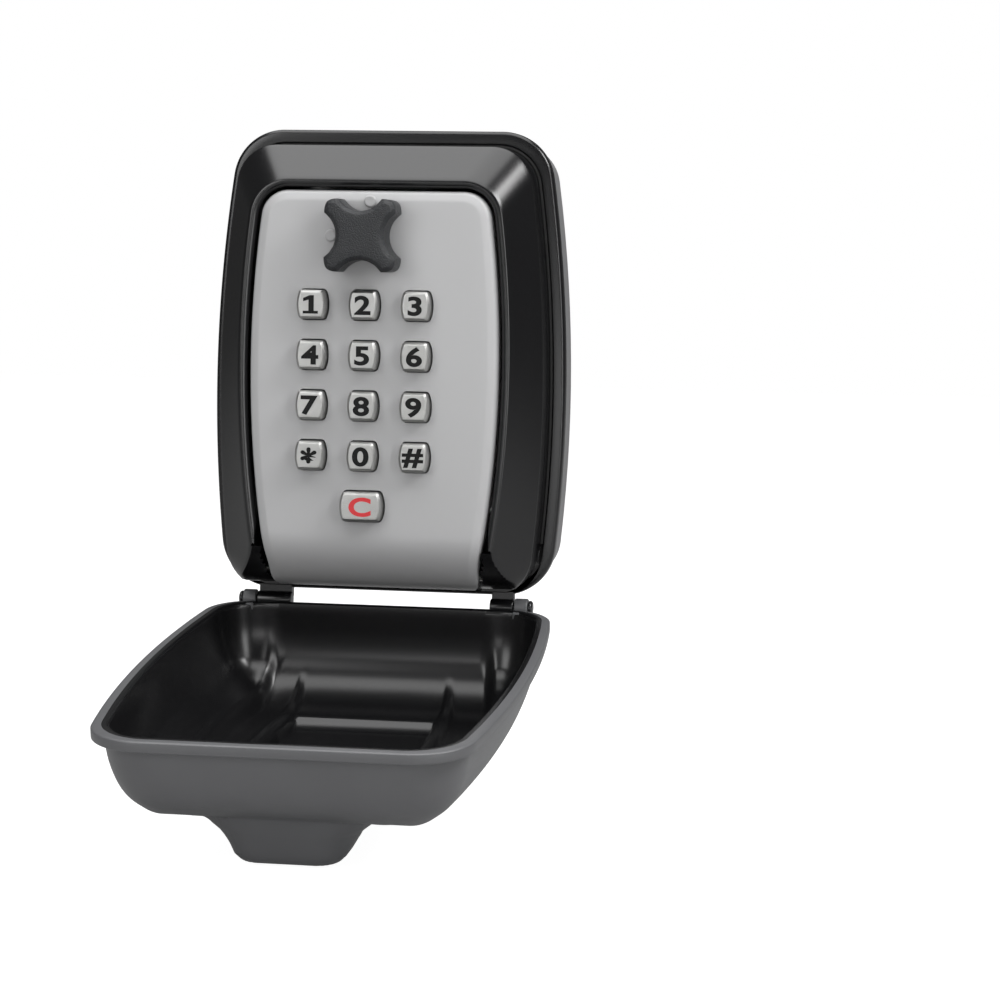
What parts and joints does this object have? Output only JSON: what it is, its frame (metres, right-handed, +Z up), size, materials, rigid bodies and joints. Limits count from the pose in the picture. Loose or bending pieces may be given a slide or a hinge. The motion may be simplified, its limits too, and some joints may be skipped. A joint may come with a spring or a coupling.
{
  "type": "key lock box",
  "caption": "Wall-mounted push-button key lock box with a hinged weather cover, a drop-down door, a turning knob and a mechanical code lock.",
  "frame": {"origin": "centre of the back face, where the box meets the wall", "axes": "+Z up, +Y into the wall, so the keys and knob face -Y, and +X is to the right for a person who faces the box"},
  "size_m": [0.0974, 0.1527, 0.1744],
  "materials": {
    "housing_zinc": "dark grey textured powder coat on die-cast zinc",
    "frame_plastic": "glossy black moulded plastic",
    "cover_plastic": "satin charcoal moulded plastic with a fine grain outside, glossy black inside",
    "door_grey": "light grey satin paint",
    "knob_plastic": "black plastic with a heavy grain",
    "key_nickel": "satin nickel with bright bevelled edges",
    "pin_steel": "ground steel",
    "pin_black": "black finished steel",
    "screw_steel": "zinc plated",
    "plate_steel": "stamped and tumbled",
    "spring_steel": "drawn wire",
    "lock_zinc": "as cast",
    "brass": "turned",
    "seal_rubber": "black rubber"
  },
  "bodies": {
    "housing": {"rear_housing": "housing_zinc", "wall_gasket": "seal_rubber", "front_frame": "frame_plastic", "frame_seal": "seal_rubber", "frame_screws": "screw_steel", "door_hinge_pin": "pin_steel", "cover_pin_left": "pin_black", "cover_pin_right": "pin_black", "latch_keeper": "plate_steel", "keeper_screws": "screw_steel", "key_hook": "plate_steel"},
    "cover": {"weather_cover": "cover_plastic"},
    "door": {"door_plate": "door_grey", "lock_case": "lock_zinc", "lock_back_cover": "lock_zinc", "lock_screws": "screw_steel", "spindle_bush": "brass", "spring_1": "spring_steel", "spring_2": "spring_steel", "spring_3": "spring_steel", "spring_4": "spring_steel", "spring_5": "spring_steel", "spring_6": "spring_steel", "spring_7": "spring_steel", "spring_8": "spring_steel", "spring_9": "spring_steel", "spring_star": "spring_steel", "spring_0": "spring_steel", "spring_hash": "spring_steel", "spring_clear": "spring_steel"},
    "knob": {"knob": "knob_plastic", "spindle": "pin_steel", "spindle_clip": "spring_steel", "cam_disc": "lock_zinc"},
    "latch": {"gate_plate": "plate_steel", "latch_bolt": "plate_steel", "code_tabs": "brass"},
    "reset": {"reset_plate": "plate_steel"},
    "key_1": {"key_1": "key_nickel"},
    "key_2": {"key_2": "key_nickel"},
    "key_3": {"key_3": "key_nickel"},
    "key_4": {"key_4": "key_nickel"},
    "key_5": {"key_5": "key_nickel"},
    "key_6": {"key_6": "key_nickel"},
    "key_7": {"key_7": "key_nickel"},
    "key_8": {"key_8": "key_nickel"},
    "key_9": {"key_9": "key_nickel"},
    "key_star": {"key_star": "key_nickel"},
    "key_0": {"key_0": "key_nickel"},
    "key_hash": {"key_hash": "key_nickel"},
    "key_clear": {"key_clear": "key_nickel"}
  },
  "joints": [
    {"name": "cover_hinge", "type": "hinge", "parent": "housing", "child": "cover", "pos_m": [0, -0.0283, -0.0628], "axis": [-1, 0, 0], "range_deg": [0, 99]},
    {"name": "door_hinge", "type": "hinge", "parent": "housing", "child": "door", "pos_m": [0, -0.0345, -0.0543], "axis": [-1, 0, 0], "range_deg": [-88, 0]},
    {"name": "knob_turn", "type": "hinge", "parent": "door", "child": "knob", "pos_m": [-0.0019, -0.05, 0.0332], "axis": [0, -1, 0], "range_deg": [0, 90]},
    {"name": "latch_slide", "type": "slide", "parent": "door", "child": "latch", "axis": [0, 0, 1], "range_m": [0, 0.005]},
    {"name": "press_1", "type": "slide", "parent": "door", "child": "key_1", "axis": [0, 1, 0], "range_m": [0, 0.002], "stiffness_N_per_m": 400, "springref_m": -0.0015, "deforming": ["spring_1"]},
    {"name": "press_2", "type": "slide", "parent": "door", "child": "key_2", "axis": [0, 1, 0], "range_m": [0, 0.002], "stiffness_N_per_m": 400, "springref_m": -0.0015, "deforming": ["spring_2"]},
    {"name": "press_3", "type": "slide", "parent": "door", "child": "key_3", "axis": [0, 1, 0], "range_m": [0, 0.002], "stiffness_N_per_m": 400, "springref_m": -0.0015, "deforming": ["spring_3"]},
    {"name": "press_4", "type": "slide", "parent": "door", "child": "key_4", "axis": [0, 1, 0], "range_m": [0, 0.002], "stiffness_N_per_m": 400, "springref_m": -0.0015, "deforming": ["spring_4"]},
    {"name": "press_5", "type": "slide", "parent": "door", "child": "key_5", "axis": [0, 1, 0], "range_m": [0, 0.002], "stiffness_N_per_m": 400, "springref_m": -0.0015, "deforming": ["spring_5"]},
    {"name": "press_6", "type": "slide", "parent": "door", "child": "key_6", "axis": [0, 1, 0], "range_m": [0, 0.002], "stiffness_N_per_m": 400, "springref_m": -0.0015, "deforming": ["spring_6"]},
    {"name": "press_7", "type": "slide", "parent": "door", "child": "key_7", "axis": [0, 1, 0], "range_m": [0, 0.002], "stiffness_N_per_m": 400, "springref_m": -0.0015, "deforming": ["spring_7"]},
    {"name": "press_8", "type": "slide", "parent": "door", "child": "key_8", "axis": [0, 1, 0], "range_m": [0, 0.002], "stiffness_N_per_m": 400, "springref_m": -0.0015, "deforming": ["spring_8"]},
    {"name": "press_9", "type": "slide", "parent": "door", "child": "key_9", "axis": [0, 1, 0], "range_m": [0, 0.002], "stiffness_N_per_m": 400, "springref_m": -0.0015, "deforming": ["spring_9"]},
    {"name": "press_star", "type": "slide", "parent": "door", "child": "key_star", "axis": [0, 1, 0], "range_m": [0, 0.002], "stiffness_N_per_m": 400, "springref_m": -0.0015, "deforming": ["spring_star"]},
    {"name": "press_0", "type": "slide", "parent": "door", "child": "key_0", "axis": [0, 1, 0], "range_m": [0, 0.002], "stiffness_N_per_m": 400, "springref_m": -0.0015, "deforming": ["spring_0"]},
    {"name": "press_hash", "type": "slide", "parent": "door", "child": "key_hash", "axis": [0, 1, 0], "range_m": [0, 0.002], "stiffness_N_per_m": 400, "springref_m": -0.0015, "deforming": ["spring_hash"]},
    {"name": "press_clear", "type": "slide", "parent": "door", "child": "key_clear", "axis": [0, 1, 0], "range_m": [0, 0.002], "stiffness_N_per_m": 400, "springref_m": -0.0015, "deforming": ["spring_clear"]},
    {"name": "reset_slide", "type": "slide", "parent": "door", "child": "reset", "axis": [0, 0, 1], "range_m": [0, 0.0015]}
  ],
  "couplings": [
    {"joint": "knob_turn", "follows": "latch_slide", "rad_per_m": 314.16},
    {"joint": "reset_slide", "follows": "press_clear", "ratio": 0.75}
  ]
}
